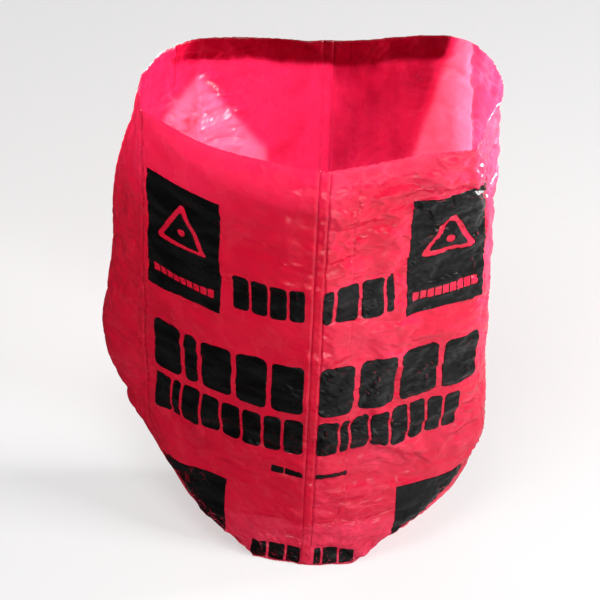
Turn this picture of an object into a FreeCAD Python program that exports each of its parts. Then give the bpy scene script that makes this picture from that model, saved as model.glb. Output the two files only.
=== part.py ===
"""A large film waste bag standing open: film panels between creases, welded base, printed ink.

Frame: +Z up, origin on the floor under the bag, the V-shaped front wall towards -Y.
The film tube is divided at its creases, because those are the lines it folds along.
"""
import FreeCAD, Part
import os
import Sketcher

doc = FreeCAD.newDocument("waste_bag")
sheet = doc.addObject("Spreadsheet::Sheet", "Sheet")

# Where each upright crease or turn of the film stands at each level: (x, y) in millimetres,
# clockwise from the front as seen from above.
LEVELS = {
    "foot": {"height": 2, "front": (-6, -171), "left": (-110, -160), "side_left": (-135, -40),
             "back_left": (-125, 72), "back": (-20, 80), "back_right": (95, 72),
             "side_right": (105, -40), "right": (88, -160)},
    "knee": {"height": 100, "front": (-2, -172), "left": (-220, -114), "side_left": (-266, -15),
             "back_left": (-200, 70), "back": (-10, 86), "back_right": (190, 70),
             "side_right": (262, -15), "right": (211, -106)},
    "hip": {"height": 200, "front": (0, -172), "left": (-296, -62), "side_left": (-336, 15),
            "back_left": (-252, 84), "back": (-2, 98), "back_right": (242, 84),
            "side_right": (308, 20), "right": (303, -38)},
    "waist": {"height": 400, "front": (5, -172), "left": (-316, -45), "side_left": (-404, 35),
              "back_left": (-292, 108), "back": (0, 120), "back_right": (272, 110),
              "side_right": (311, 45), "right": (305, -30)},
    "belly": {"height": 600, "front": (9, -172), "left": (-312, -43), "side_left": (-383, 42),
              "back_left": (-288, 118), "back": (0, 136), "back_right": (270, 136),
              "side_right": (306, 60), "right": (299, -36)},
    "chest": {"height": 800, "front": (13, -172), "left": (-306, -42), "side_left": (-361, 50),
              "back_left": (-280, 128), "back": (0, 152), "back_right": (262, 160),
              "side_right": (300, 80), "right": (289, -28)},
    "rim": {"height": 1015, "front": (18, -172), "left": (-298, -42), "side_left": (-305, 60),
            "back_left": (-262, 138), "back": (0, 176), "back_right": (250, 190),
            "side_right": (298, 106), "right": (275, -40)},
}

SIZES = {
    "film": 0.6,             # thickness of the film solids
    "crease_half": 8,        # half the width of the narrow strip between a pair of crease lines
    "setback": 0.9,          # how far a panel stops short of its crease line
    "base_film": 1.2,        # thickness of the folded film under the bag
    "seal_y": 20,            # the bottom weld's centre line
    "seal_half": 5.5,        # half the weld band's width
    "seal_left": -130,       # the weld band's two ends
    "seal_right": 100,
    "seal_gap": 0.5,         # between the weld band and the film on each side of it
    "ink_clear": 0.3,        # between the film and the ink
    "ink": 0.4,              # thickness of the ink
    "ink_reach": 200,        # depth of the boxes that cut the ink out of its skin
    "row_gap": 0.14,         # gap after each block of a row, as a share of a full block
    "block_inner": 160,      # symbol block: from the middle of the bag to its near edge
    "block_wide": 136,
    "upper_block_low": 640,
    "upper_block_high": 258,
    "lower_block_low": 20,
    "lower_block_high": 176,
    "mark_radius": 60,       # generic triangle mark, to its corners
    "mark_inner_radius": 45,
    "mark_dot": 8,
    "mark_up": 150,          # from the block's lower edge to the mark's middle
    "caption_up": 40,        # from the block's lower edge to its small row
    "caption_high": 20,
    "caption_wide": 112,
    "heading_left": -139,    # each row of blocks: two outer ends, lower edge and height
    "heading_right": 139,
    "heading_low": 663,
    "heading_high": 83,
    "main_left": -294,
    "main_right": 294,
    "main_low": 431,
    "main_high": 123,
    "second_left": -296,
    "second_right": 266,
    "second_low": 322,
    "second_high": 92,
    "small_left": -72,
    "small_right": 68,
    "small_low": 258,
    "small_high": 14,
    "repeat_left": -112,
    "repeat_right": 88,
    "repeat_low": 6,
    "repeat_high": 42,
    "row_middle_gap": 12,    # half the bare stripe down the middle crease
}

CORNERS = ("front", "left", "side_left", "back_left", "back", "back_right", "side_right", "right")
ORDER = ("foot", "knee", "hip", "waist", "belly", "chest", "rim")


def fill_sheet():
    """Writes every driving dimension into the sheet, one named cell each."""
    cells = {}
    for level, places in LEVELS.items():
        cells[level + "_height"] = places["height"]
        for corner in CORNERS:
            cells[level + "_" + corner + "_x"] = places[corner][0]
            cells[level + "_" + corner + "_y"] = places[corner][1]
    cells.update(SIZES)
    for row, (alias, value) in enumerate(cells.items(), start=1):
        sheet.set("A%d" % row, alias)
        sheet.set("B%d" % row, str(value))
        sheet.setAlias("B%d" % row, alias)
    doc.recompute()


def size(alias):
    return float(sheet.get(alias))


def corner_place(level, corner):
    """(x text, y text, x, y) of a corner. A trailing _near or _far is one line of a crease pair."""
    name, shift = corner, 0
    if corner.endswith("_near"):
        name, shift = corner[:-5], -1
    if corner.endswith("_far"):
        name, shift = corner[:-4], 1
    alias = level + "_" + name
    x_text = "Sheet.%s_x" % alias
    if shift:
        x_text += " %s Sheet.crease_half" % ("+" if shift > 0 else "-")
    x = size(alias + "_x") + shift * size("crease_half")
    return x_text, "Sheet.%s_y" % alias, x, size(alias + "_y")


def plane_of(body):
    return [f for f in body.Origin.OriginFeatures if f.Role == "XY_Plane"][0]


def attach(sketch, body, height_text):
    sketch.AttachmentSupport = [(plane_of(body), "")]
    sketch.MapMode = "FlatFace"
    sketch.setExpression("AttachmentOffset.Base.z", height_text)


def dimension(sketch, kind, references, value, text):
    """Adds one driving dimension and binds it to the sheet."""
    index = sketch.addConstraint(Sketcher.Constraint(kind, *references, value))
    sketch.setExpression("Constraints[%d]" % index, text)


def pin_point(sketch, geometry, end, place):
    x_text, y_text, x, y = place
    dimension(sketch, "DistanceX", (-1, 1, geometry, end), x, x_text)
    dimension(sketch, "DistanceY", (-1, 1, geometry, end), y, y_text)


def offset_outline(points, outward, inward, setback):
    """Start positions of a strip's outer and inner corner points, along a chain of points."""
    directions = []
    for a, b in zip(points, points[1:]):
        directions.append((b - a).normalize())
    rows = ([], [])
    for index, point in enumerate(points):
        before = directions[max(index - 1, 0)]
        after = directions[min(index, len(directions) - 1)]
        slide = FreeCAD.Vector(0, 0, 0)
        if index == 0:
            slide = after * setback
        if index == len(points) - 1:
            slide = before * -setback
        mitre = FreeCAD.Vector(-before.y, before.x, 0) + FreeCAD.Vector(-after.y, after.x, 0)
        mitre = mitre / (1 + before.dot(after))
        rows[0].append(point + slide + mitre * outward)
        rows[1].append(point + slide + mitre * inward)
    return rows


def strip_sketch(body, level, corners, outer, inner):
    """A thin closed outline that follows a chain of corners at one level.

    outer and inner are (distance, text) of the two long sides, measured outwards from the chain.
    """
    sketch = body.newObject("Sketcher::SketchObject", body.Name + "_" + level)
    attach(sketch, body, "Sheet.%s_height" % level)
    places = [corner_place(level, corner) for corner in corners]
    points = [FreeCAD.Vector(p[2], p[3], 0) for p in places]
    facets = len(points) - 1
    for index in range(facets):
        guide = sketch.addGeometry(Part.LineSegment(points[index], points[index + 1]), True)
        pin_point(sketch, guide, 1, places[index])
        pin_point(sketch, guide, 2, places[index + 1])
    near, far = offset_outline(points, outer[0], inner[0], size("setback"))
    loop = near + far[::-1]
    first = facets
    for index, point in enumerate(loop):
        sketch.addGeometry(Part.LineSegment(point, loop[(index + 1) % len(loop)]))
    for index in range(len(loop)):
        following = (index + 1) % len(loop)
        sketch.addConstraint(
            Sketcher.Constraint("Coincident", first + index, 2, first + following, 1))
    for index in range(facets):
        near_line = first + index
        far_line = first + 2 * facets - index
        for line, (distance, text) in ((near_line, outer), (far_line, inner)):
            sketch.addConstraint(Sketcher.Constraint("Parallel", line, index))
            dimension(sketch, "Distance", (line, 1, index), abs(distance), text)
    last_edge = first + facets
    first_edge = first + 2 * facets + 1
    for edge, guide, end in ((last_edge, facets - 1, 2), (first_edge, 0, 1)):
        sketch.addConstraint(Sketcher.Constraint("Perpendicular", edge, guide))
        dimension(sketch, "Distance", (guide, end, edge), size("setback"), "Sheet.setback")
    return sketch


def film_strip(name, corners, outer, inner):
    """A wall of film: a ruled loft through the same strip at every level."""
    body = doc.addObject("PartDesign::Body", name)
    body.Label = name
    sketches = [strip_sketch(body, level, corners, outer, inner) for level in ORDER]
    doc.recompute()
    loft = body.newObject("PartDesign::AdditiveLoft", name + "_loft")
    loft.Profile = sketches[0]
    loft.Sections = sketches[1:]
    loft.Ruled = True
    body.Tip = loft
    return body


def film_panel(name, corners):
    half = size("film") / 2
    return film_strip(name, corners, (half, "Sheet.film / 2"), (-half, "Sheet.film / 2"))


def ink_skin(name, corners):
    """A skin just outside a front panel. The printed shapes are cut out of it."""
    low = size("film") / 2 + size("ink_clear")
    high = low + size("ink")
    low_text = "Sheet.film / 2 + Sheet.ink_clear"
    return film_strip(name, corners, (high, low_text + " + Sheet.ink"), (low, low_text))


def plate(name, places):
    """A flat piece of the folded base: a polygon padded up from the floor."""
    body = doc.addObject("PartDesign::Body", name)
    body.Label = name
    sketch = body.newObject("Sketcher::SketchObject", name + "_outline")
    attach(sketch, body, "0")
    points = [FreeCAD.Vector(p[2], p[3], 0) for p in places]
    for index, point in enumerate(points):
        sketch.addGeometry(Part.LineSegment(point, points[(index + 1) % len(points)]))
    for index, place in enumerate(places):
        sketch.addConstraint(
            Sketcher.Constraint("Coincident", index, 2, (index + 1) % len(places), 1))
        pin_point(sketch, index, 1, place)
    doc.recompute()
    pad = body.newObject("PartDesign::Pad", name + "_pad")
    pad.Profile = sketch
    pad.setExpression("Length", "Sheet.base_film")
    body.Tip = pad
    return body


def seal_place(end, side):
    """A corner of a base fold beside the weld: end is seal_left or seal_right, side -1 front, 1 back."""
    sign = "+" if side > 0 else "-"
    y_text = "Sheet.seal_y %s Sheet.seal_half %s Sheet.seal_gap" % (sign, sign)
    y = size("seal_y") + side * (size("seal_half") + size("seal_gap"))
    return "Sheet." + end, y_text, size(end), y


def band_place(end, side):
    """A corner of the weld band itself."""
    sign = "+" if side > 0 else "-"
    y = size("seal_y") + side * size("seal_half")
    return "Sheet." + end, "Sheet.seal_y %s Sheet.seal_half" % sign, size(end), y


def base_pieces():
    foot = {corner: corner_place("foot", corner) for corner in CORNERS}
    front = plate("base_front_fold", [
        seal_place("seal_left", -1), foot["side_left"], foot["left"], foot["front"],
        foot["right"], foot["side_right"], seal_place("seal_right", -1)])
    back = plate("base_back_fold", [
        seal_place("seal_right", 1), foot["back_right"], foot["back"], foot["back_left"],
        seal_place("seal_left", 1)])
    band = plate("bottom_seal", [
        band_place("seal_left", -1), band_place("seal_right", -1),
        band_place("seal_right", 1), band_place("seal_left", 1)])
    return [front, back, band]


def cutter(name, x_text, low_text, wide_text, high_text):
    """A box that stands across the front wall. Its texts are its place and its size."""
    box = doc.addObject("Part::Box", name)
    box.setExpression("Placement.Base.x", x_text)
    box.setExpression("Placement.Base.y", "-Sheet.ink_reach")
    box.setExpression("Placement.Base.z", low_text)
    box.setExpression("Length", wide_text)
    box.setExpression("Width", "Sheet.ink_reach")
    box.setExpression("Height", high_text)
    return box


def printed_row(name, skin, row, left_side, widths):
    """One row of plain blocks on one side of the middle crease. widths are shares of a full block."""
    if left_side:
        start, end = "Sheet.%s_left" % row, "-Sheet.row_middle_gap"
    else:
        start, end = "Sheet.row_middle_gap", "Sheet.%s_right" % row
    share = "(%s - %s) / (%.2f + %d * Sheet.row_gap)" % (end, start, sum(widths), len(widths) - 1)
    boxes = []
    done = 0.0
    for index, width in enumerate(widths):
        x_text = "%s + (%.2f + %d * Sheet.row_gap) * %s" % (start, done, index, share)
        boxes.append(cutter("%s_cut_%d" % (name, index), x_text, "Sheet.%s_low" % row,
                            "%.2f * %s" % (width, share), "Sheet.%s_high" % row))
        done += width
    tool = doc.addObject("Part::Compound", name + "_cut")
    tool.Links = boxes
    ink = doc.addObject("Part::Common", name)
    ink.Label = name
    ink.Base = skin
    ink.Tool = tool
    return ink


def upright_prism(name, radius_text, x_text, z_text):
    """A three-sided prism that lies along Y with one corner up."""
    prism = doc.addObject("Part::Prism", name)
    prism.Polygon = 3
    prism.setExpression("Circumradius", radius_text)
    prism.setExpression("Height", "Sheet.ink_reach")
    turn = FreeCAD.Rotation(FreeCAD.Vector(1, 0, 0), 90) * FreeCAD.Rotation(FreeCAD.Vector(0, 0, 1), 90)
    prism.Placement = FreeCAD.Placement(FreeCAD.Vector(0, 0, 0), turn)
    prism.setExpression("Placement.Base.x", x_text)
    prism.setExpression("Placement.Base.z", z_text)
    return prism


def symbol_block(name, skin, side, block, with_mark):
    """A solid ink block with a generic triangle-and-dot mark and a small row left bare."""
    middle_text = "%d * (Sheet.block_inner + Sheet.block_wide / 2)" % side
    low_text = "Sheet.%s_low" % block
    field = cutter(name + "_field", middle_text + " - Sheet.block_wide / 2", low_text,
                   "Sheet.block_wide", "Sheet.%s_high" % block)
    plain = doc.addObject("Part::Common", name + "_plain" if with_mark else name)
    plain.Base = skin
    plain.Tool = field
    if not with_mark:
        plain.Label = name
        return plain
    mark_text = low_text + " + Sheet.mark_up"
    outer = upright_prism(name + "_outer", "Sheet.mark_radius", middle_text, mark_text)
    inner = upright_prism(name + "_inner", "Sheet.mark_inner_radius", middle_text, mark_text)
    outline = doc.addObject("Part::Cut", name + "_outline")
    outline.Base = outer
    outline.Tool = inner
    dot = doc.addObject("Part::Cylinder", name + "_dot")
    dot.Placement = FreeCAD.Placement(
        FreeCAD.Vector(0, 0, 0), FreeCAD.Rotation(FreeCAD.Vector(1, 0, 0), 90))
    dot.setExpression("Radius", "Sheet.mark_dot")
    dot.setExpression("Height", "Sheet.ink_reach")
    dot.setExpression("Placement.Base.x", middle_text)
    dot.setExpression("Placement.Base.z", mark_text)
    caption = cutter(name + "_caption", middle_text + " - Sheet.caption_wide / 2",
                     low_text + " + Sheet.caption_up - Sheet.caption_high / 2",
                     "Sheet.caption_wide", "Sheet.caption_high")
    bare = doc.addObject("Part::Compound", name + "_bare")
    bare.Links = [outline, dot, caption]
    ink = doc.addObject("Part::Cut", name)
    ink.Label = name
    ink.Base = plain
    ink.Tool = bare
    return ink


fill_sheet()

nodes = [
    film_panel("front_left_panel", ["front_near", "left"]),
    film_panel("front_right_panel", ["right", "front_far"]),
    film_panel("front_crease_strip", ["front_far", "front_near"]),
    film_panel("left_side_panel", ["left", "side_left", "back_left"]),
    film_panel("right_side_panel", ["back_right", "side_right", "right"]),
    film_panel("back_left_panel", ["back_left", "back_near"]),
    film_panel("back_right_panel", ["back_far", "back_right"]),
    film_panel("back_crease_strip", ["back_near", "back_far"]),
]
nodes += base_pieces()

left_skin = ink_skin("left_ink_skin", ["front_near", "left"])
right_skin = ink_skin("right_ink_skin", ["right", "front_far"])

# Block widths, as shares of a full block, on the left and on the right of the middle crease.
ROWS = {
    "heading": ([1, 1, 1, 0.9], [0.45, 1, 1, 0.35]),
    "main": ([1, 0.45, 1, 1, 1], [0.9, 1, 1, 1]),
    "second": ([1, 0.45, 1, 1, 1, 1, 0.9, 1], [1.2, 0.45, 1, 1, 1, 0.9, 0.85, 0.9]),
    "small": ([1.5, 2.2], [1.8]),
    "repeat": ([1, 1, 0.9], [0.45, 1, 1]),
}
ROW_NAMES = {"heading": "heading_row", "main": "main_row", "second": "second_row",
             "small": "small_row", "repeat": "lower_heading_row"}
for row, (left_widths, right_widths) in ROWS.items():
    nodes.append(printed_row(ROW_NAMES[row] + "_left", left_skin, row, True, left_widths))
    nodes.append(printed_row(ROW_NAMES[row] + "_right", right_skin, row, False, right_widths))

nodes.append(symbol_block("upper_left_symbol_block", left_skin, -1, "upper_block", True))
nodes.append(symbol_block("upper_right_symbol_block", right_skin, 1, "upper_block", True))
nodes.append(symbol_block("lower_left_symbol_block", left_skin, -1, "lower_block", False))
nodes.append(symbol_block("lower_right_symbol_block", right_skin, 1, "lower_block", False))

doc.recompute()

for item in doc.Objects:
    if "Invalid" in item.State or "Error" in item.State:
        raise RuntimeError("%s did not rebuild: %s" % (item.Name, item.State))
for node in nodes:
    if node.Shape.isNull() or not node.Shape.isValid() or not node.Shape.Solids:
        raise RuntimeError("%s has no valid solid" % node.Label)

os.makedirs("parts", exist_ok=True)
for node in nodes:
    node.Shape.exportStep("parts/%s.step" % node.Label)
    print(node.Label, len(node.Shape.Solids), "solids", round(node.Shape.Volume), "mm3")
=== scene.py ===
"""Looks of the standing film waste bag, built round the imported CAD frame.

The film is one structured grid: rows go up the bag, columns go round it. It is creased, crumpled by a
cloth simulation, then cut into one piece per CAD panel. The ink is cut in film coordinates (distance
from the front crease, height) and laid on the finished film.
"""

import math

import bpy
import numpy as np
from mathutils import Matrix, Vector
from mathutils.geometry import delaunay_2d_cdt


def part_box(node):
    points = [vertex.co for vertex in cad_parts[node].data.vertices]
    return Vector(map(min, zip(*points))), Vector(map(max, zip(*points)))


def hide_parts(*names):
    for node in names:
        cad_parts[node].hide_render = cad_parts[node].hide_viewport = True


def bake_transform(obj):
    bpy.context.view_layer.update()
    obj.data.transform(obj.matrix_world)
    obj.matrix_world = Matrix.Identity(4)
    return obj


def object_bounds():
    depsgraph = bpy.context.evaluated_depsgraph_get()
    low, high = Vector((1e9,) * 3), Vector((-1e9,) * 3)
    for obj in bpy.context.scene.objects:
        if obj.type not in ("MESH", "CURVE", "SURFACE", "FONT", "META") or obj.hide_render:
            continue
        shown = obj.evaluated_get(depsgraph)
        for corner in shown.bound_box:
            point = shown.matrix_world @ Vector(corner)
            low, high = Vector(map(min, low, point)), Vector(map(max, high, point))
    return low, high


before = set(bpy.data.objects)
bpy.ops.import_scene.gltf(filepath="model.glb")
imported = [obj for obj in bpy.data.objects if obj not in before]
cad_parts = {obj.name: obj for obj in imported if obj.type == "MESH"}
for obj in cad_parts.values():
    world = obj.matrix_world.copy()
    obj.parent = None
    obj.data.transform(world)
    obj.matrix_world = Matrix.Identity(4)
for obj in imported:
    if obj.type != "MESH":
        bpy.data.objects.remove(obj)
cad_low, cad_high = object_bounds()

MM = 0.001
CELL = 6.0 * MM               # size of a film grid cell
FILM = 0.35 * MM              # drawn thickness of the film
MOST_STRAY = 14 * MM          # cap on how far crumpling moves a point of film
RANDOM = np.random.default_rng(7)

# Where each vertical crease line is read from the CAD: its node, the axis to search, and which end.
CREASE_LINES = {
    "front_near": ("front_left_panel", 0, 1),
    "left": ("front_left_panel", 0, -1),
    "side_left": ("left_side_panel", 0, -1),
    "back_left": ("back_left_panel", 0, -1),
    "back_near": ("back_left_panel", 0, 1),
    "back_far": ("back_right_panel", 0, -1),
    "back_right": ("back_right_panel", 0, 1),
    "side_right": ("right_side_panel", 0, 1),
    "right": ("front_right_panel", 0, 1),
    "front_far": ("front_right_panel", 0, -1),
}
# Panels clockwise from the front crease, each with the crease lines it runs through.
PANELS = (
    ("front_left_panel", ("front_near", "left")),
    ("left_side_panel", ("left", "side_left", "back_left")),
    ("back_left_panel", ("back_left", "back_near")),
    ("back_crease_strip", ("back_near", "back_far")),
    ("back_right_panel", ("back_far", "back_right")),
    ("right_side_panel", ("back_right", "side_right", "right")),
    ("front_right_panel", ("right", "front_far")),
    ("front_crease_strip", ("front_far", "front_near")),
)


# ---------------------------------------------------------------- shape of the bag

def node_points(node):
    return np.array([v.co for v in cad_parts[node].data.vertices])


def level_heights():
    """Heights of the CAD's section levels, low to high."""
    return np.unique(np.round(node_points("front_crease_strip")[:, 2], 4))


LEVELS = level_heights()


def crease_line(name):
    """The (x, y) of one crease line at every CAD level."""
    node, axis, end = CREASE_LINES[name]
    points = node_points(node)
    places = []
    for height in LEVELS:
        near = points[np.abs(points[:, 2] - height) < 0.5 * MM]
        places.append(near[np.argmax(near[:, axis] * end), :2])
    return np.array(places)


def smooth(knots, values, at):
    """Cubic curve through values at knots, with tangents taken from the neighbouring knots."""
    knots = np.asarray(knots, float)
    values = np.asarray(values, float)
    slope = np.gradient(values, knots, axis=0)
    index = np.clip(np.searchsorted(knots, at) - 1, 0, len(knots) - 2)
    step = knots[index + 1] - knots[index]
    t = (np.asarray(at) - knots[index]) / step
    shape = (-1,) + (1,) * (values.ndim - 1)
    t, step = t.reshape(shape), step.reshape(shape)
    start = (2 * t ** 3 - 3 * t ** 2 + 1) * values[index] + (t ** 3 - 2 * t ** 2 + t) * step * slope[index]
    end = (-2 * t ** 3 + 3 * t ** 2) * values[index + 1] + (t ** 3 - t ** 2) * step * slope[index + 1]
    return start + end


def spread(points, count):
    """count points at equal distances along a chain of points."""
    length = np.r_[0, np.cumsum(np.linalg.norm(np.diff(points, axis=0), axis=1))]
    at = np.linspace(0, length[-1], count)
    return np.stack([np.interp(at, length, points[:, k]) for k in range(points.shape[1])], axis=1)


def bulged(a, b, sag, count):
    """A shallow arc from a to b that stands sag outside the chord."""
    t = np.linspace(0, 1, count)[:, None]
    chord = b - a
    outward = np.array([-chord[1], chord[0]]) / np.linalg.norm(chord)
    return a + chord * t + outward * sag * 4 * t * (1 - t)


def through(points, count):
    """A smooth curve through the given points, evenly spread."""
    points = np.asarray(points)
    knots = np.r_[0, np.cumsum(np.linalg.norm(np.diff(points, axis=0), axis=1))]
    fine = smooth(knots, points, np.linspace(0, knots[-1], 200))
    return spread(fine, count)


LINES = {name: crease_line(name) for name in CREASE_LINES}
FOOT, RIM = LEVELS[0], LEVELS[-1]
ROWS = int(round((RIM - FOOT) / CELL)) + 1
HEIGHTS = np.linspace(FOOT, RIM, ROWS)


def panel_length(names):
    """Length of a panel along the film, measured at the level where it is longest."""
    parts = [LINES[n] for n in names]
    steps = list(zip(parts, parts[1:]))
    return max(sum(np.linalg.norm(b[k] - a[k]) for a, b in steps) for k in range(len(LEVELS)))


COLUMNS = {name: max(3, int(round(panel_length(names) / CELL))) for name, names in PANELS}


def front_sag(side, height):
    """How far a front panel bows outwards: fullest near the rim on the left, lower down on the right."""
    share = (height - FOOT) / (RIM - FOOT)
    near_foot = min(1.0, share * 4)
    if side == "left":
        return (14 + 12 * share) * MM * near_foot
    return (16 - 22 * share ** 2) * MM * near_foot


FOLD_REACH = 230 * MM         # how far below the rim the soft fold in the front right panel fades out
FOLD_DEPTH = 42 * MM          # how far it stands out at the rim


def folded(a, b, height):
    """The front right panel from a to b. Near the rim it stays flat, then turns back at a soft fold."""
    drop = (RIM - height) / FOLD_REACH
    depth = FOLD_DEPTH * max(0.0, 1 - drop)
    chord = b - a
    outward = np.array([-chord[1], chord[0]]) / np.linalg.norm(chord)
    t = np.linspace(0, 1, 121)
    fold_at = max(0.03, 0.14 - 0.11 * drop)
    lift = np.interp(t, [0, fold_at, 1], [0, depth, 0])
    soften = np.ones(5) / 5
    lift[2:-2] = np.convolve(lift, soften, mode="valid")
    lift += front_sag("right", height) * 4 * t * (1 - t)
    return a + chord * t[:, None] + outward * lift[:, None]


def row_of_film(height):
    """All columns of one row: a closed loop, clockwise from the front crease, without the repeat."""
    at = {name: smooth(LEVELS, LINES[name], np.array([height]))[0] for name in LINES}
    loop = []
    left_curve = through([at["left"], at["side_left"], at["back_left"], at["back_near"]], 400)
    right_curve = through([at["back_far"], at["back_right"], at["side_right"], at["right"]], 400)

    def cut(curve, a, b, count):
        first = int(np.argmin(np.linalg.norm(curve - a, axis=1)))
        last = int(np.argmin(np.linalg.norm(curve - b, axis=1)))
        return spread(curve[first:last + 1], count)

    pieces = {
        "front_left_panel": bulged(at["front_near"], at["left"], front_sag("left", height), 60),
        "left_side_panel": cut(left_curve, at["left"], at["back_left"], 80),
        "back_left_panel": cut(left_curve, at["back_left"], at["back_near"], 80),
        "back_crease_strip": np.array([at["back_near"], at["back_far"]]),
        "back_right_panel": cut(right_curve, at["back_far"], at["back_right"], 80),
        "right_side_panel": cut(right_curve, at["back_right"], at["right"], 80),
        "front_right_panel": folded(at["right"], at["front_far"], height),
        "front_crease_strip": np.array([at["front_far"], at["front_near"]]),
    }
    for name, _ in PANELS:
        loop.append(spread(pieces[name], COLUMNS[name] + 1)[:-1])
    loop = np.concatenate(loop)
    return np.c_[loop, np.full(len(loop), height)]


def base_grid():
    return np.stack([row_of_film(height) for height in HEIGHTS])


def first_columns():
    """The first column of each panel."""
    start, found = 0, {}
    for name, _ in PANELS:
        found[name] = start
        start += COLUMNS[name]
    return found


FIRST = first_columns()
ROUND = sum(COLUMNS.values())


def grid_normals(grid):
    """Outward normals of the closed grid, shared by neighbouring panels."""
    across = np.roll(grid, -1, axis=1) - np.roll(grid, 1, axis=1)
    up = np.gradient(grid, axis=0)
    normal = np.cross(up, across)
    return normal / np.linalg.norm(normal, axis=2, keepdims=True)


# ---------------------------------------------------------------- dents and loose places

COLUMN_AT = np.arange(ROUND) * CELL       # distance round the film from the front crease
BELOW_RIM = RIM - HEIGHTS                 # depth of each row below the rim
ABOVE_RIM = -1.0                          # a zone that starts here has no top edge on the bag
PAST_FOOT = 2 * RIM                       # a zone that ends here has no bottom edge on the bag

# Corners of the folded facets, in mm: distance round the film from the back left corner, and depth
# below the rim.
FACET_LEFT = (-40, 160)
FACET_TOP = (48, 55)
FACET_RIGHT = (175, 200)
TUCK_END = (248, 45)
DENTS_END, DENTS_FADE = 390 * MM, 200 * MM   # depth below the rim where the dents end, and fade before it
FACET_REACH, FACET_PUSH = 95 * MM, 0.56      # widest part counted, and push inwards per unit of it
TUCK_REACH, TUCK_PUSH = 60 * MM, 0.2


def ease(value):
    """0 below 0, 1 above 1, smooth between."""
    value = np.clip(value, 0, 1)
    return value * value * (3 - 2 * value)


def from_column(column):
    """Signed distance round the film from a column, the short way, for every column."""
    reach = ROUND * CELL
    return (COLUMN_AT - column * CELL + reach / 2) % reach - reach / 2


def side_of_line(around, a, b):
    """Signed distance of every grid point from the line a to b, each (round the film, below the rim)."""
    a, b = np.array(a) * MM, np.array(b) * MM
    across = np.array([a[1] - b[1], b[0] - a[0]]) / np.linalg.norm(b - a)
    return (around[None, :] - a[0]) * across[0] + (BELOW_RIM[:, None] - a[1]) * across[1]


def inward_dents():
    """How far the film is pushed in, to flat facets with sharp edges, at the folded back left corner."""
    around = from_column(FIRST["back_left_panel"])
    fading = ease((DENTS_END - BELOW_RIM[:, None]) / DENTS_FADE)
    left_edge = side_of_line(around, FACET_LEFT, FACET_TOP)
    right_edge = side_of_line(around, FACET_TOP, FACET_RIGHT)
    facet = np.clip(np.minimum(left_edge, right_edge), 0, FACET_REACH)
    facet *= fading * ease(2.2 - np.abs(around - 60 * MM) / (90 * MM))
    tuck = np.clip(side_of_line(around, FACET_RIGHT, TUCK_END), 0, TUCK_REACH)
    tuck *= fading * (np.abs(around - 190 * MM) < 90 * MM)
    tuck *= ease((286 * MM - around) / (50 * MM))
    return facet * FACET_PUSH + tuck * TUCK_PUSH


def soft_noise(high, wide):
    """Seeded noise on the grid with a deviation of 1; its patches are about high by wide."""
    waves = np.fft.fft2(RANDOM.normal(size=(ROWS, ROUND)))
    up = np.fft.fftfreq(ROWS, CELL)[:, None] * high
    around = np.fft.fftfreq(ROUND, CELL)[None, :] * wide
    field = np.fft.ifft2(waves * np.exp(-2 * (up ** 2 + around ** 2))).real
    return field / field.std()


def zone(panel, top=ABOVE_RIM, bottom=PAST_FOOT, start=0.0, end=1.0, soft=45 * MM):
    """A soft-edged mask: part of a panel, from top to bottom (m below the rim), start to end as shares."""
    first = FIRST[panel] + COLUMNS[panel] * start
    last = FIRST[panel] + COLUMNS[panel] * end
    around = np.abs(from_column((first + last) / 2))
    beside = ease(((last - first) * CELL / 2 - around) / soft + 0.5)
    upright = ease((BELOW_RIM - top) / soft + 0.5) * ease((bottom - BELOW_RIM) / soft + 0.5)
    return upright[:, None] * beside[None, :]


def loose_places():
    """Where the film is slack and crumples, 0 to 1. The rest hangs almost flat."""
    loose = 0.10 + 0.22 * ease(soft_noise(160 * MM, 200 * MM))
    loose += 0.34 * zone("front_right_panel")
    loose += 0.30 * zone("front_right_panel", bottom=0.26) * ease(1 + soft_noise(50 * MM, 120 * MM))
    loose += 0.25 * zone("front_right_panel", end=0.16)
    loose += 0.40 * zone("right_side_panel")
    loose += 0.22 * zone("left_side_panel")
    loose += 0.80 * zone("back_left_panel", 0.09, 0.30, -0.12, 0.5)
    loose += 0.25 * zone("front_left_panel", top=0.62)
    loose += 0.16 * zone("front_right_panel", top=0.62)
    loose += 0.20 * ease((BELOW_RIM[:, None] - 0.80) / 0.1)
    loose -= 0.15 * ease((BELOW_RIM[:, None] - 0.35) / 0.1) * zone("right_side_panel")
    return np.clip(loose, 0, 1)


def upright_places():
    """Where the wrinkles run up and down, 0 to 1: the left side and part of the back."""
    return np.clip(zone("left_side_panel", bottom=0.62) + 0.6 * zone("back_right_panel"), 0, 1)


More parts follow.
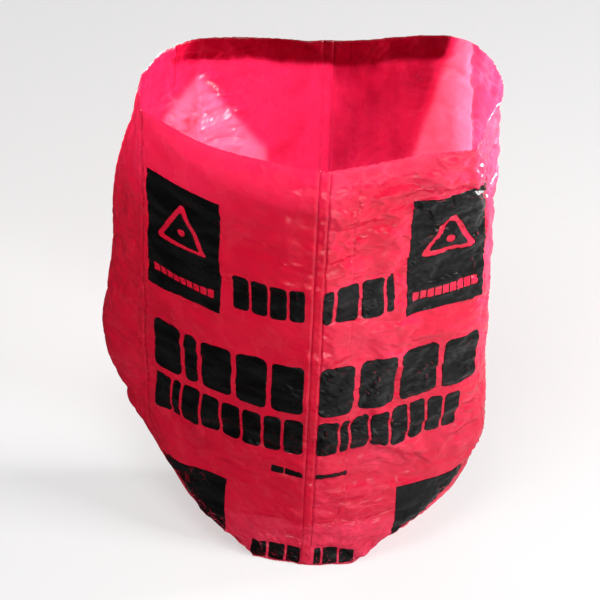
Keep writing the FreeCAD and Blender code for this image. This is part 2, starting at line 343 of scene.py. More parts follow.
def hazy_and_painted_light_places():
    """Where the film looks milky (above 0) or deep and dark (below 0). Random clouds and a paler band near
    the foot, where the film lies double, are the film's own; the rest is painted light and painted shade,
    each marked below.
    """
    depth = BELOW_RIM[:, None]
    haze_with_painted_light = 0.10 * soft_noise(120 * MM, 160 * MM)
    haze_with_painted_light += 0.5 * ease((depth - 0.885) / 0.012)
    # Painted shade: a darker band under the rim of the back panels.
    behind = np.abs(from_column(FIRST["back_crease_strip"]))
    haze_with_painted_light -= 0.85 * ease((0.056 - depth) / 0.024) * ease((0.34 - behind) / 0.14)
    # Painted light: the right side strip made paler and pinker, standing in for light coming through it and
    # its sheen.
    haze_with_painted_light += 0.6 * zone("right_side_panel")
    # Painted sheen: the front right panel made milkier, standing in for the key light and bright floor
    # reflected in it.
    haze_with_painted_light += 0.45 * zone("front_right_panel", soft=10 * MM)
    # Painted highlight: the folded facets at the back left corner made pale, as if glinting.
    haze_with_painted_light += 1.2 * ease(dents / (12 * MM)) * zone("back_left_panel", 0.05, 0.30, -0.2, 0.66, 20 * MM)
    # Painted light and painted shade inside the back right panel: a pale band standing in for light coming
    # through the film, and darker film beside it.
    around = from_column(FIRST["back_right_panel"])
    pale = ease(-side_of_line(around, (215, 30), (155, 240)) / (40 * MM) + 0.5)
    painted_light_and_shade_inside_right = zone("back_right_panel", soft=20 * MM) * (2.3 * pale - 0.5)
    haze_with_painted_light += painted_light_and_shade_inside_right * ease((0.46 - depth) / 0.22)
    return haze_with_painted_light


def first_ripples():
    """The slight waves the buckling grows from: level, but upright where streaked, mixed on the right."""
    level = soft_noise(26 * MM, 110 * MM)
    upright = soft_noise(220 * MM, 26 * MM)
    mixed = soft_noise(30 * MM, 36 * MM)
    streaked = upright_places()
    side = np.clip(zone("right_side_panel") + zone("back_left_panel", 0.0, 0.32), 0, 1)
    ripple = level * (1 - streaked) * (1 - side) + upright * streaked + mixed * side
    return ripple * 1.6 * MM + RANDOM.normal(0, 0.3 * MM, ripple.shape)


# ---------------------------------------------------------------- crumpling

def tube_faces(rows, columns):
    """Quads of a grid whose last column joins its first."""
    r, c = np.meshgrid(np.arange(rows - 1), np.arange(columns), indexing="ij")
    a = (r * columns + c).ravel()
    b = (r * columns + (c + 1) % columns).ravel()
    return np.stack([a, a + columns, b + columns, b], axis=1)


def weight_group(piece, name, weights):
    group = piece.vertex_groups.new(name=name)
    for index, weight in enumerate(weights.ravel()):
        group.add([index], float(weight), "REPLACE")


HOLD_FILM, HOLD_RIM, HOLD_CREASE, HOLD_FOOT = 0.03, 0.2, 0.8, 1.0   # how firmly each part stays put
RIM_ROWS = 3                  # rows held as the rim
GROWTH = 0.06                 # how much longer the loosest film grows
CLOTH_STEPS = 32
SOFT_CORNERS = ("back_left_panel", "right_side_panel")   # panels that start at a bend, not at a crease


def crumple(base, loose):
    """Lets the film buckle: where it is loose its rest lengths grow, while its creases are held."""
    rows, columns = base.shape[:2]
    start = base + grid_normals(base) * first_ripples()[..., None]
    tube = new_object("tube", start.reshape(-1, 3), tube_faces(rows, columns).tolist())
    hold = np.full((rows, columns), HOLD_FILM)
    hold[-RIM_ROWS:] = HOLD_RIM
    for name, _ in PANELS:
        if name not in SOFT_CORNERS:
            hold[:, FIRST[name]] = HOLD_CREASE
    hold[0] = HOLD_FOOT
    weight_group(tube, "hold", hold)
    weight_group(tube, "tight", 1 - loose)
    cloth = tube.modifiers.new("cloth", "CLOTH")
    fabric = cloth.settings
    fabric.quality = 5
    fabric.mass = 0.3
    fabric.tension_stiffness = fabric.compression_stiffness = fabric.shear_stiffness = 15
    fabric.bending_stiffness = 0.05
    fabric.vertex_group_mass = "hold"
    fabric.pin_stiffness = 1.0
    fabric.vertex_group_shrink = "tight"
    fabric.shrink_min = -GROWTH
    fabric.shrink_max = 0.0
    fabric.effector_weights.gravity = 0
    cloth.collision_settings.use_collision = False
    for step in range(1, CLOTH_STEPS + 1):
        bpy.context.scene.frame_set(step)
    shaped = tube.evaluated_get(bpy.context.evaluated_depsgraph_get())
    places = np.zeros(rows * columns * 3)
    shaped.data.vertices.foreach_get("co", places)
    bpy.data.objects.remove(tube)
    bpy.context.scene.frame_set(1)
    return places.reshape(rows, columns, 3)


def held_near(moved, base):
    """Caps how far a point may stray from the uncrumpled film, leaving small moves as they are."""
    stray = moved - base
    far = np.maximum(np.linalg.norm(stray, axis=2, keepdims=True), 1e-9)
    return base + stray * (MOST_STRAY * np.tanh(far / MOST_STRAY) / far)


# ---------------------------------------------------------------- meshes

def new_object(name, vertices, faces):
    mesh = bpy.data.meshes.new(name)
    mesh.from_pydata([tuple(v) for v in vertices], [], [tuple(f) for f in faces])
    mesh.update()
    piece = bpy.data.objects.new(name, mesh)
    bpy.context.scene.collection.objects.link(piece)
    return piece


def grid_triangles(rows, columns, offset=0):
    """Two triangles per cell, always split from its first corner to the opposite one."""
    r, c = np.meshgrid(np.arange(rows - 1), np.arange(columns - 1), indexing="ij")
    a = (r * columns + c + offset).ravel()
    lower = np.stack([a, a + columns, a + columns + 1], axis=1)
    upper = np.stack([a, a + columns + 1, a + 1], axis=1)
    return np.concatenate([lower, upper])


def shade_smooth(piece):
    piece.data.polygons.foreach_set("use_smooth", [True] * len(piece.data.polygons))


def sheet(name, outer, inner):
    """A closed thin piece between two matching grids of points."""
    rows, columns = outer.shape[:2]
    count = rows * columns
    top = grid_triangles(rows, columns)
    low = grid_triangles(rows, columns, count)[:, ::-1]
    index = np.arange(count).reshape(rows, columns)
    edge = np.r_[index[0, :-1], index[:-1, -1], index[-1, :0:-1], index[:0:-1, 0]]
    follow = np.roll(edge, -1)
    wall = np.stack([edge, follow, follow + count, edge + count], axis=1)
    faces = top.tolist() + low.tolist() + wall.tolist()
    piece = new_object(name, np.r_[outer.reshape(-1, 3), inner.reshape(-1, 3)], faces)
    shade_smooth(piece)
    return piece


base = base_grid()
dents = inward_dents()
base = base - grid_normals(base) * dents[..., None]
loose = loose_places()
grid = held_near(crumple(base, loose), base)
normals = grid_normals(grid)


def paint(piece, name, values):
    """Stores one number per point of a mesh for its material to read."""
    stored = piece.data.attributes.new(name, "FLOAT", "POINT")
    stored.data.foreach_set("value", np.asarray(values, dtype=np.float32).ravel())


def paint_place(piece, around, height):
    """Stores where each point lies on the flat film, so that textures run along and across it."""
    stored = piece.data.attributes.new("film_place", "FLOAT_VECTOR", "POINT")
    place = np.stack([around, height, np.zeros_like(around)], axis=-1)
    stored.data.foreach_set("vector", place.astype(np.float32).ravel())


def film_panels():
    made = []
    upright, haze_with_painted_light = upright_places(), hazy_and_painted_light_places()
    for name, _ in PANELS:
        unwrapped = np.arange(FIRST[name], FIRST[name] + COLUMNS[name] + 1)
        columns = unwrapped % ROUND
        outer = grid[:, columns]
        piece = sheet("film_" + name, outer, outer - normals[:, columns] * FILM)
        height, around = np.meshgrid(HEIGHTS, unwrapped * CELL, indexing="ij")
        paint_place(piece, np.r_[around.ravel(), around.ravel()], np.r_[height.ravel(), height.ravel()])
        # The third attribute carries the film's milkiness together with painted light and painted shade.
        for attribute, values in (("loose", loose), ("upright", upright), ("haze_with_painted_light", haze_with_painted_light)):
            paint(piece, attribute, np.tile(values[:, columns].ravel(), 2))
        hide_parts(name)
        made.append(piece)
    return made


# ---------------------------------------------------------------- folded base

BASE_RINGS = 14
SEAL_LOW, SEAL_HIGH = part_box("bottom_seal")


def seal_columns():
    """The two columns of the foot row that stand beside the ends of the weld."""
    foot = grid[0]
    middle = (SEAL_LOW.y + SEAL_HIGH.y) / 2
    left = np.arange(FIRST["left_side_panel"], FIRST["back_left_panel"] + 4)
    right = np.arange(FIRST["right_side_panel"] - 4, FIRST["front_right_panel"])
    return (left[np.argmin(np.abs(foot[left, 1] - middle))],
            right[np.argmin(np.abs(foot[right, 1] - middle))])


def paint_level(piece, slack):
    """Paints a level piece of film: its place on the film is its own x and y."""
    points = np.array([v.co for v in piece.data.vertices])
    paint_place(piece, points[:, 0], points[:, 1])
    paint(piece, "loose", np.full(len(points), slack))


def base_fold(name, columns, seal_y, node):
    """Film turned under from part of the foot row to one edge of the weld."""
    edge = grid[0, columns]
    along = np.r_[0, np.cumsum(np.linalg.norm(np.diff(edge, axis=0), axis=1))]
    along /= along[-1]
    target = np.empty_like(edge)
    target[:, 0] = edge[0, 0] + (edge[-1, 0] - edge[0, 0]) * along
    middle = (SEAL_LOW.y + SEAL_HIGH.y) / 2
    beyond = np.maximum(SEAL_LOW.x - target[:, 0], target[:, 0] - SEAL_HIGH.x)
    target[:, 1] = middle + (seal_y - middle) * ease(1 - beyond / (4 * MM))
    target[:, 2] = 0.9 * MM
    share = np.linspace(0, 1, BASE_RINGS)[:, None, None]
    rings = edge[None] * (1 - share) + target[None] * share
    pleat = np.abs(np.sin(along * 46 + 5 * np.sin(along * 9)))[None, :]
    flat = np.sin(np.pi * share[:, :, 0])
    rings[:, :, 2] = np.minimum(rings[:, :, 2], 2 * MM) * (1 - flat) + flat * (0.9 + 2.2 * pleat) * MM
    rings[0] = edge
    inner = rings + np.array([0, 0, FILM])
    piece = sheet(name, rings[:, ::-1], inner[:, ::-1])
    paint_level(piece, 0.5)
    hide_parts(node)
    return piece


def weld_band():
    """The pressed weld: a flat band with fine ribs along it."""
    across = np.linspace(SEAL_LOW.y, SEAL_HIGH.y, 23)
    along = np.linspace(SEAL_LOW.x, SEAL_HIGH.x, 80)
    y, x = np.meshgrid(across, along, indexing="ij")
    ribs = 0.14 * MM * np.cos((y - SEAL_LOW.y) / (SEAL_HIGH.y - SEAL_LOW.y) * math.tau * 5)
    top = np.stack([x, y, SEAL_HIGH.z - 0.2 * MM + ribs], axis=2)
    low = np.stack([x, y, np.full_like(x, 0.25 * MM)], axis=2)
    piece = sheet("film_bottom_seal", top[::-1], low[::-1])
    paint_level(piece, 0.1)
    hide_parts("bottom_seal")
    return piece


def base_pieces():
    left, right = seal_columns()
    behind = np.arange(left, right + 1)
    ahead = np.r_[np.arange(right, ROUND), np.arange(0, left + 1)]
    front = base_fold("film_base_front_fold", ahead, SEAL_LOW.y, "base_front_fold")
    back = base_fold("film_base_back_fold", behind, SEAL_HIGH.y, "base_back_fold")
    return [front, back, weld_band()]


# ---------------------------------------------------------------- ink

INK_STEP = 3.0 * MM           # spacing of the points an ink patch is cut from
INK_LOW, INK_HIGH = 0.15 * MM, 0.5 * MM


def row_share(z):
    """Row number, with its fraction, of a height on the flat film."""
    return np.clip((np.asarray(z) - FOOT) / (RIM - FOOT) * (ROWS - 1), 0, ROWS - 1.0001)


PANEL_OF = {"left": "front_left_panel", "right": "front_right_panel"}


def panel_span(side, rows):
    """Length of a front panel along the film at the given rows."""
    name = PANEL_OF[side]
    columns = np.arange(FIRST[name], FIRST[name] + COLUMNS[name] + 1) % ROUND
    lengths = np.linalg.norm(np.diff(base[:, columns], axis=1), axis=2).sum(axis=1)
    return np.interp(rows, np.arange(ROWS), lengths)


def panel_end(side, z):
    """Where a front panel ends at each height, measured from the front crease: just short of the next."""
    return panel_span(side, row_share(z)) - 0.5 * MM


def film_place(side, s, z):
    """Points and outward normals of the finished film at distance s from the front crease."""
    name = PANEL_OF[side]
    row = row_share(z)
    share = np.clip(s / panel_span(side, row), 0, 0.9999)
    if side == "right":
        share = 1 - share
    column = np.clip(share * COLUMNS[name], 0, COLUMNS[name] - 0.0001)
    r, c = row.astype(int), column.astype(int)
    fr, fc = (row - r)[:, None], (column - c)[:, None]
    a = (FIRST[name] + c) % ROUND
    b = (FIRST[name] + c + 1) % ROUND

    def blend_corners(values):
        one, two, three, four = values[r, a], values[r + 1, a], values[r + 1, b], values[r, b]
        lower = one + fr * (two - one) + fc * (three - two)
        upper = one + fc * (four - one) + fr * (three - four)
        return np.where(fr >= fc, lower, upper)

    return blend_corners(grid), blend_corners(normals)


def film_distance(side, x, z):
    """Distance from the front crease, along the flat film, of a place at x on a front panel."""
    name = PANEL_OF[side]
    columns = np.arange(FIRST[name], FIRST[name] + COLUMNS[name] + 1) % ROUND
    row = base[int(row_share(z)), columns]
    if side == "right":
        row = row[::-1]
    length = np.r_[0, np.cumsum(np.linalg.norm(np.diff(row, axis=0), axis=1))]
    reach = np.abs(row[:, 0] - row[0, 0])
    return float(np.interp(abs(x - row[0, 0]), reach, length))


def rounded(s0, s1, z0, z1, radius):
    """A rectangle with round corners, as a loop of points."""
    radius = min(radius, (s1 - s0) / 2.2, (z1 - z0) / 2.2)
    loop = []
    for corner, (s, z) in enumerate(((s1 - radius, z1 - radius), (s0 + radius, z1 - radius),
                                     (s0 + radius, z0 + radius), (s1 - radius, z0 + radius))):
        for step in range(4):
            angle = math.radians(90 * corner + 30 * step)
            loop.append((s + radius * math.cos(angle), z + radius * math.sin(angle)))
    return loop


def circle(s, z, radius, count=20):
    return [(s + radius * math.cos(math.tau * k / count), z + radius * math.sin(math.tau * k / count))
            for k in range(count)]


def triangle(s, z, radius, round_radius):
    """An upright triangle with round corners."""
    loop = []
    for corner in range(3):
        middle = math.radians(90 + 120 * corner)
        cs = s + (radius - 2 * round_radius) * math.cos(middle)
        cz = z + (radius - 2 * round_radius) * math.sin(middle)
        for step in range(-3, 4):
            angle = middle + math.radians(20 * step)
            loop.append((cs + round_radius * math.cos(angle), cz + round_radius * math.sin(angle)))
    return loop


def inside(points, loops):
    """True where a point is inside an odd number of loops."""
    odd = np.zeros(len(points), bool)
    for loop in loops:
        ring = np.asarray(loop)
        following = np.roll(ring, -1, axis=0)
        for (s1, z1), (s2, z2) in zip(ring, following):
            if z1 == z2:
                continue
            crosses = (points[:, 1] > z1) != (points[:, 1] > z2)
            at = s1 + (points[:, 1] - z1) * (s2 - s1) / (z2 - z1)
            odd ^= crosses & (points[:, 0] < at)
    return odd


def ink_patch(name, side, loops, node):
    """A printed patch: the loops are cut off at the panel's end and laid just outside the film."""
    points, edges, shapes = [], [], []
    for loop in loops:
        fine = []
        for (s1, z1), (s2, z2) in zip(loop, loop[1:] + loop[:1]):
            steps = max(1, int(math.hypot(s2 - s1, z2 - z1) / INK_STEP))
            fine += [(s1 + (s2 - s1) * k / steps, z1 + (z2 - z1) * k / steps) for k in range(steps)]
        fine = np.array(fine)
        fine[:, 0] = np.minimum(fine[:, 0], panel_end(side, fine[:, 1]))
        fine = fine[np.any(fine != np.roll(fine, 1, axis=0), axis=1)]
        shapes.append(fine)
        first = len(points)
        points += fine.tolist()
        edges += [(first + k, first + (k + 1) % len(fine)) for k in range(len(fine))]
    outline = np.array(points)
    low, high = outline.min(axis=0), outline.max(axis=0)
    s, z = np.meshgrid(np.arange(low[0], high[0], INK_STEP), np.arange(low[1], high[1], INK_STEP))
    lattice = np.stack([s.ravel(), z.ravel()], axis=1) + INK_STEP * 0.37
    lattice = lattice[inside(lattice, shapes)]
    points += [tuple(p) for p in lattice]
    flat, _, faces, _, _, _ = delaunay_2d_cdt([Vector(p) for p in points], edges, [], 0, 1e-7)
    flat = np.array([tuple(p) for p in flat])
    faces = np.array([tuple(f) for f in faces])
    faces = faces[inside(flat[faces].mean(axis=1), shapes)]
    used, faces = np.unique(faces, return_inverse=True)
    faces = faces.reshape(-1, 3)
    flat = flat[used]
    count = len(flat)
    if side == "left":
        faces = faces[:, ::-1]
    place, normal = film_place(side, flat[:, 0], flat[:, 1])
    sides = np.concatenate([faces[:, [0, 1]], faces[:, [1, 2]], faces[:, [2, 0]]])
    known = {tuple(e) for e in sides.tolist()}
    wall = [(b, a, a + count, b + count) for a, b in known if (b, a) not in known]
    low_faces = (faces[:, ::-1] + count).tolist()
    vertices = np.r_[place + normal * INK_HIGH, place + normal * INK_LOW]
    piece = new_object(name, vertices, faces.tolist() + low_faces + wall)
    shade_smooth(piece)
    around = flat[:, 0] if side == "left" else ROUND * CELL - flat[:, 0]
    paint_place(piece, np.tile(around, 2), np.tile(flat[:, 1], 2))
    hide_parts(node)
    return piece


# Widths of the plain blocks in each row, left and right of the front crease, as shares of a block.
ROWS_OF_BLOCKS = {
    "heading_row": ((1, 1, 1, 0.9), (0.45, 1, 1, 0.35)),
    "main_row": ((1, 0.45, 1, 1, 1), (0.9, 1, 1, 1)),
    "second_row": ((1, 0.45, 1, 1, 1, 1, 0.9, 1), (1.2, 0.45, 1, 1, 1, 0.9, 0.85, 0.9)),
    "small_row": ((1.5, 2.2), (1.8,)),
    "lower_heading_row": ((1, 1, 0.9), (0.45, 1, 1)),
}
BLOCK_GAP = 0.16


def block_row(s0, s1, z0, z1, widths):
    """A row of plain round-cornered blocks between s0 and s1, first width at s0."""
    share = (s1 - s0) / (sum(widths) + BLOCK_GAP * (len(widths) - 1))
    loops, at = [], s0
    for width in widths:
        loops.append(rounded(at, at + width * share, z0, z1, 0.09 * (z1 - z0)))
        at += (width + BLOCK_GAP) * share
    return loops


def node_extent(node, side):
    """A printed CAD node's extent in film coordinates: near and far edge, low and high."""
    low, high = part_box(node)
    middle = (low.z + high.z) / 2
    near_x, far_x = (high.x, low.x) if side == "left" else (low.x, high.x)
    return film_distance(side, near_x, middle), film_distance(side, far_x, middle), low.z, high.z


def printed_rows():
    made = []
    for row, (left_widths, right_widths) in ROWS_OF_BLOCKS.items():
        for side, widths in (("left", left_widths[::-1]), ("right", right_widths)):
            node = row + "_" + side
            near, far, low, high = node_extent(node, side)
            made.append(ink_patch("ink_" + node, side, block_row(near, far, low, high, widths), node))
    return made


PLAIN_BLOCK_WIDE = 145 * MM   # width of a lower block along the film, before the panel's end cuts it off
MARK_HEIGHT = 0.60            # height of the mark's middle, as a share of the block's height
MARK_RADIUS = 0.42            # size of the triangle, as a share of the block's width
MARK_LINE = 19 * MM           # how much smaller the triangle's inner outline is
DOT_RADIUS = 8 * MM
CAPTION_LOW, CAPTION_HIGH = 30 * MM, 50 * MM
CAPTION_MARGIN = 0.08         # bare margin beside the caption, as a share of the block's width
CAPTION_BLOCKS = 9


def symbol_block(level, side, with_mark):
    """A black block. The upper ones bear a bare triangle outline, dot and row of small blocks."""
    node = level + "_" + side + "_symbol_block"
    near, far, low, high = node_extent(node, side)
    wide = far - near
    middle = (near + far) / 2
    if not with_mark:
        far = near + PLAIN_BLOCK_WIDE
    loops = [[(near, low), (far, low), (far, high), (near, high)]]
    if with_mark:
        mark = low + MARK_HEIGHT * (high - low)
        loops.append(triangle(middle, mark, MARK_RADIUS * wide, 6 * MM))
        loops.append(triangle(middle, mark, MARK_RADIUS * wide - MARK_LINE, 3 * MM))
        loops.append(circle(middle, mark, DOT_RADIUS))
        margin = CAPTION_MARGIN * wide
        loops += block_row(near + margin, far - margin, low + CAPTION_LOW, low + CAPTION_HIGH,
                           (1,) * CAPTION_BLOCKS)
    return ink_patch("ink_" + node, side, loops, node)


def symbol_blocks():
    return [symbol_block(level, side, level == "upper")
            for level in ("upper", "lower") for side in ("left", "right")]


film_pieces = film_panels() + base_pieces()
ink_pieces = printed_rows() + symbol_blocks()


# ---------------------------------------------------------------- materials

# Straight packing creases on the flat film: round it (X, from the front crease) or up it (Y, height).
PACKING_CREASES = (
    ("X", FIRST["front_crease_strip"] * CELL - 55 * MM),
    ("X", FIRST["back_right_panel"] * CELL + 30 * MM),
    ("Y", 130 * MM),
)
CREASE_WIDTH, CREASE_DEPTH = 4 * MM, 0.14     # half width of such a valley, and its depth as bump height

# Colours of dark, plain and milky film: as its surface looks, and as light comes through it. The dark end is
# painted shade; the milky end is partly the film's own milkiness and partly painted light.
SURFACE_COLORS_WITH_PAINTED_SHADE_AND_LIGHT = ((0.20, 0.0, 0.008), (0.64, 0.002, 0.036), (0.90, 0.05, 0.13))
GLOW_COLORS_WITH_PAINTED_SHADE_AND_LIGHT = ((0.40, 0.01, 0.06), (0.97, 0.17, 0.37), (1.0, 0.5, 0.68))
FILM_BUMP, INK_BUMP = 4 * MM, 1.6 * MM
SMALL_FACETS = (30, 52)       # facets per metre, round the film and up it
SMALL_FACETS_AT = 3.0         # offset of the small facets, shared so that the paler folds (stress whitening and painted highlight) follow them


def add_node(tree, kind, inputs=None, **settings):
    """A shader node with its settings and inputs. An input given as a socket is linked to it."""
    made = tree.nodes.new("ShaderNode" + kind)
    for key, value in settings.items():
        setattr(made, key, value)
    for key, value in (inputs or {}).items():
        if isinstance(value, bpy.types.NodeSocket):
            tree.links.new(value, made.inputs[key])
        else:
            made.inputs[key].default_value = value
    return made


def calculate(tree, operation, *values):
    """The result of a Math node."""
    made = add_node(tree, "Math", dict(enumerate(values)), operation=operation)
    return made.outputs[0]


def read(tree, name, output="Fac"):
    return add_node(tree, "Attribute", attribute_name=name).outputs[output]


def noise(tree, place, scales, detail, kind="FBM", twist=0.0, offset=0.0):
    """Noise in film coordinates, with its own scale round the film and up it, per metre."""
    moved = add_node(tree, "Mapping", {"Vector": place, "Scale": (*scales, 1),
                                       "Location": (offset, offset, 0)})
    inputs = {"Vector": moved.outputs[0], "Scale": 1.0, "Detail": detail, "Roughness": 0.55,
              "Distortion": twist}
    made = add_node(tree, "TexNoise", inputs, noise_type=kind, noise_dimensions="2D")
    return made.outputs["Fac"]


def between(tree, value, low, high, to_low, to_high):
    inputs = {"Value": value, "From Min": low, "From Max": high, "To Min": to_low, "To Max": to_high}
    return add_node(tree, "MapRange", inputs, interpolation_type="SMOOTHSTEP").outputs[0]


def ramp(tree, share, colors):
    """Three colours for dark (painted shade), plain and milky (own milkiness and painted light) film,
    blended by share.
    """
    made = add_node(tree, "ValToRGB", {0: share})
    made.color_ramp.interpolation = "EASE"
    made.color_ramp.elements.new(0.4)
    for stop, color in zip(made.color_ramp.elements, colors):
        stop.color = (*color, 1)
    return made.outputs["Color"]


def crinkles(tree, place, scales, offset):
    """Flat facets with sharp creases between them, as in film that has been crushed and let go."""
    bend = noise(tree, place, (scales[0] * 0.7, scales[1] * 0.7), 2.0, offset=offset + 1.0)
    bend = calculate(tree, "MULTIPLY", bend, 0.5 / scales[0])
    wavy = add_node(tree, "VectorMath", {0: place, 1: bend}, operation="ADD").outputs[0]
    moved = add_node(tree, "Mapping", {"Vector": wavy, "Scale": (*scales, 1),
                                       "Location": (offset, offset, 0)})
    cells = add_node(tree, "TexVoronoi", {"Vector": moved.outputs[0], "Scale": 1.0},
                     feature="DISTANCE_TO_EDGE", voronoi_dimensions="2D")
    return cells.outputs["Distance"]


def fine_wrinkles(tree, place, upright):
    """Height of the fine creases of handled film: level ones, upright ones and flat facets."""
    level = noise(tree, place, (9, 34), 3.0, "RIDGED_MULTIFRACTAL", 0.5)
    streaks = noise(tree, place, (55, 6), 3.0, "RIDGED_MULTIFRACTAL", 0.4, 3.0)
    mixed = add_node(tree, "Mix", {0: upright, 2: level, 3: streaks}, data_type="FLOAT").outputs[0]
    facets = crinkles(tree, place, (11, 24), 7.0)
    small = crinkles(tree, place, SMALL_FACETS, SMALL_FACETS_AT)
    facets = calculate(tree, "MULTIPLY_ADD", facets, 2.2, calculate(tree, "MULTIPLY", small, 0.7))
    return calculate(tree, "MULTIPLY_ADD", mixed, 0.7, facets)


def packing_creases(tree, place):
    """Sharp straight valleys left where the flat bag was folded to be packed."""
    on_film = add_node(tree, "SeparateXYZ", {0: place})
    valleys = 0.0
    for axis, line in PACKING_CREASES:
        away = calculate(tree, "ABSOLUTE", calculate(tree, "SUBTRACT", on_film.outputs[axis], line))
        valleys = calculate(tree, "ADD", between(tree, away, 0.0, CREASE_WIDTH, -CREASE_DEPTH, 0.0), valleys)
    return valleys


def whitening_and_fold_highlights(tree, place, loose):
    """How far the film is paler along its sharpest folds, in patches, where it is slack: stress whitening,
    and a painted highlight along the fold ridges.
    """
    folds = between(tree, crinkles(tree, place, SMALL_FACETS, SMALL_FACETS_AT), 0.0, 0.25, 1.0, 0.0)
    patches = between(tree, noise(tree, place, (7, 12), 3, offset=9.0), 0.46, 0.62, 0.0, 1.0)
    return calculate(tree, "MULTIPLY", calculate(tree, "MULTIPLY", folds, patches), loose)


def new_material(name):
    material = bpy.data.materials.new(name)
    material.use_nodes = True
    material.node_tree.nodes.clear()
    return material, material.node_tree


def film_material(name, weld=False):
    """Red translucent film: glossy outside, light coming through it, creases and milkiness as painted on its
    points; the painted milkiness carries painted light and painted shade.
    """
    material, tree = new_material(name)
    place = read(tree, "film_place", "Vector")
    loose_film = read(tree, "loose")
    clouds = between(tree, noise(tree, place, (14, 9), 3), 0, 1, -0.2, 0.2)
    # Random clouds of milkiness on top of the painted attribute, which holds painted light and painted
    # shade.
    haze_with_painted_light = calculate(tree, "ADD", read(tree, "haze_with_painted_light"), clouds)
    # Paler folds: stress whitening with a painted highlight along the ridges.
    haze_with_painted_light = calculate(tree, "MULTIPLY_ADD", whitening_and_fold_highlights(tree, place, loose_film), 0.5, haze_with_painted_light)
    share = add_node(tree, "MapRange", {"Value": haze_with_painted_light, "From Min": -1.0, "From Max": 1.5}).outputs[0]
    # Surface and through-light colours follow the painted light and painted shade.
    color = ramp(tree, share, SURFACE_COLORS_WITH_PAINTED_SHADE_AND_LIGHT)
    glow = ramp(tree, share, GLOW_COLORS_WITH_PAINTED_SHADE_AND_LIGHT)
    wrinkles = fine_wrinkles(tree, place, read(tree, "upright"))
    depth = add_node(tree, "MapRange", {"Value": loose_film, "To Min": 0.12, "To Max": 1.0}).outputs[0]
    height = calculate(tree, "MULTIPLY_ADD", wrinkles, depth, packing_creases(tree, place))
    if weld:
        ribs = add_node(tree, "TexWave", {"Scale": 320.0}, bands_direction="Y").outputs["Fac"]
        height = calculate(tree, "ADD", height, ribs)
    bump = add_node(tree, "Bump", {"Height": height, "Distance": FILM_BUMP, "Strength": 1.0}).outputs[0]
    rough = between(tree, noise(tree, place, (22, 16), 4, offset=5.0), 0.3, 0.7, 0.17, 0.32)
    gloss = add_node(tree, "BsdfPrincipled", {"Base Color": color, "Roughness": rough, "Normal": bump,
                                              "Specular IOR Level": 0.5})
    through_light = add_node(tree, "BsdfTranslucent", {"Color": glow, "Normal": bump})
    mix = add_node(tree, "MixShader", {0: 0.4, 1: gloss.outputs[0], 2: through_light.outputs[0]})
    add_node(tree, "OutputMaterial", {"Surface": mix.outputs[0]})
    return material


def ink_material():
    """Black ink: follows the film's creases, slightly worn along hairline cracks."""
    material, tree = new_material("black_ink")
    place = read(tree, "film_place", "Vector")
    bump = add_node(tree, "Bump", {"Height": fine_wrinkles(tree, place, 0.0), "Distance": INK_BUMP,
                                   "Strength": 1.0}).outputs[0]
    rough = between(tree, noise(tree, place, (18, 40), 4), 0.3, 0.7, 0.22, 0.42)
    tone = between(tree, noise(tree, place, (12, 30), 3, offset=2.0), 0.35, 0.75, 0.0015, 0.006)
    color = add_node(tree, "CombineColor", {0: tone, 1: tone, 2: tone}).outputs[0]
    gloss = add_node(tree, "BsdfPrincipled", {"Base Color": color, "Roughness": rough, "Normal": bump,
                                              "Specular IOR Level": 0.16})
    cracks = noise(tree, place, (38, 14), 2.0, "RIDGED_MULTIFRACTAL", 0.8, 11.0)
    patches = between(tree, noise(tree, place, (8, 8), 2, offset=4.0), 0.55, 0.65, 0.0, 1.0)
    worn = calculate(tree, "MULTIPLY", between(tree, cracks, 0.95, 0.98, 0.0, 0.7), patches)
    clear = add_node(tree, "BsdfTransparent")
    mix = add_node(tree, "MixShader", {0: worn, 1: gloss.outputs[0], 2: clear.outputs[0]})
    add_node(tree, "OutputMaterial", {"Surface": mix.outputs[0]})
    return material


red_film = film_material("red_film")
weld_film = film_material("pressed_film", weld=True)
black_ink = ink_material()
for piece in film_pieces:
    welded = piece.name == "film_bottom_seal"
    piece.data.materials.append(weld_film if welded else red_film)
for piece in ink_pieces:
    piece.data.materials.append(black_ink)


# ---------------------------------------------------------------- stage

def add_stage():
    """A plain pale floor. A reflection sees it bright on the right, under the key light, and dim left."""
    bpy.ops.mesh.primitive_plane_add(size=14, location=(0, 0, 0))
    floor = bpy.context.object
    floor.name = "floor"
    material, tree = new_material("pale_floor")
    path = add_node(tree, "LightPath")
    matt = add_node(tree, "BsdfDiffuse", {"Color": (0.9, 0.9, 0.9, 1)})
    bright = add_node(tree, "Emission", {"Color": (1, 1, 1, 1), "Strength": 1.0})
    side = add_node(tree, "SeparateXYZ", {0: add_node(tree, "NewGeometry").outputs["Position"]}).outputs["X"]
    mirrored = add_node(tree, "Emission", {"Color": (1, 1, 1, 1),
                                           "Strength": between(tree, side, -0.1, 0.5, 0.06, 1.0)})
    lift = calculate(tree, "MULTIPLY", path.outputs["Is Camera Ray"], 0.5)
    seen = add_node(tree, "MixShader", {0: lift, 1: matt.outputs[0], 2: bright.outputs[0]})
    mix = add_node(tree, "MixShader", {0: path.outputs["Is Glossy Ray"], 1: seen.outputs[0],
                                       2: mirrored.outputs[0]})
    add_node(tree, "OutputMaterial", {"Surface": mix.outputs[0]})
    floor.data.materials.append(material)


def area_light(name, place, aim, size, power, spread=180):
    """A soft lamp at place, turned towards aim. A small spread, in degrees, keeps its light in a beam."""
    data = bpy.data.lights.new(name, "AREA")
    data.shape = "RECTANGLE"
    data.size, data.size_y = size
    data.energy = power
    data.spread = math.radians(spread)
    lamp = bpy.data.objects.new(name, data)
    lamp.location = place
    lamp.rotation_euler = (Vector(aim) - Vector(place)).to_track_quat("-Z", "Y").to_euler()
    bpy.context.scene.collection.objects.link(lamp)


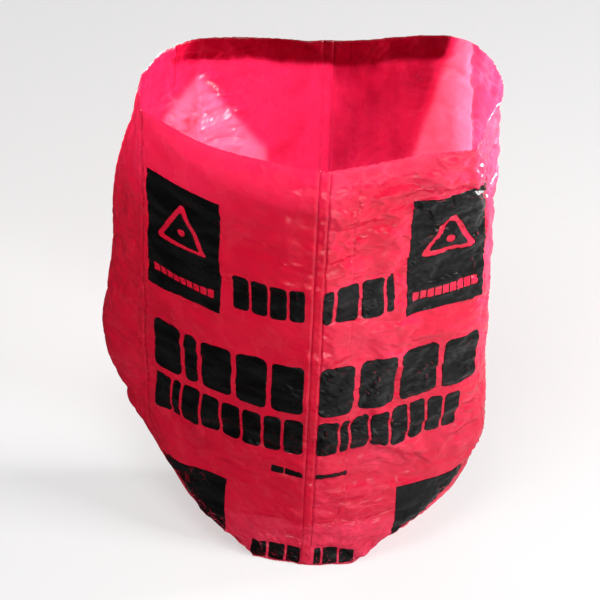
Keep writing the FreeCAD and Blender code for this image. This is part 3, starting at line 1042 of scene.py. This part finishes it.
def add_camera():
    """Camera up and in front, a little to the right, with a long lens."""
    height = cad_high.z
    aim = Vector((-0.029, -0.047, height - 0.4115))
    azimuth, elevation, roll = map(math.radians, (4.0, 44.1, -0.67))
    distance = 3.468
    back = Vector((math.sin(azimuth) * math.cos(elevation), -math.cos(azimuth) * math.cos(elevation),
                   math.sin(elevation)))
    data = bpy.data.cameras.new("camera")
    data.sensor_width = 36.0
    data.lens = 115.86
    camera = bpy.data.objects.new("camera", data)
    camera.location = aim + back * distance
    turn = (-back).to_track_quat("-Z", "Y").to_matrix().to_4x4() @ Matrix.Rotation(-roll, 4, "Z")
    camera.matrix_world = Matrix.Translation(camera.location) @ turn
    bpy.context.scene.collection.objects.link(camera)
    bpy.context.scene.camera = camera


add_stage()
add_camera()
area_light("key", (3.3, -0.8, 2.5), (0, 0, 0.6), (0.9, 0.9), 130)
area_light("top", (-0.3, -0.8, 3.2), (0, 0, 0.6), (1.0, 1.0), 30)
area_light("low_front", (0.6, -3.0, 0.5), (0, 0, 0.6), (2.6, 0.8), 38)
area_light("left_rear", (-0.75, 1.3, 1.15), (-0.2, 0.15, 0.86), (0.4, 0.4), 6, 40)
area_light("right_rear", (1.1, 0.3, 1.1), (0.27, 0.12, 0.9), (0.3, 0.4), 9, 60)


def add_world():
    """White behind the object, dim pale light all round."""
    world = bpy.data.worlds.new("studio")
    world.use_nodes = True
    tree = world.node_tree
    tree.nodes.clear()
    seen = add_node(tree, "Background", {"Color": (1, 1, 1, 1), "Strength": 1.0})
    lit = add_node(tree, "Background", {"Color": (1, 1, 1, 1), "Strength": 0.26})
    dim = add_node(tree, "Background", {"Color": (1, 1, 1, 1), "Strength": 0.1})
    path = add_node(tree, "LightPath")
    round_about = add_node(tree, "MixShader", {0: path.outputs["Is Glossy Ray"], 1: lit.outputs[0],
                                               2: dim.outputs[0]})
    mix = add_node(tree, "MixShader", {0: path.outputs["Is Camera Ray"], 1: round_about.outputs[0],
                                       2: seen.outputs[0]})
    add_node(tree, "OutputWorld", {"Surface": mix.outputs[0]})
    bpy.context.scene.world = world


add_world()
bpy.context.scene.view_settings.view_transform = "Standard"

for piece in film_pieces + ink_pieces:
    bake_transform(piece)
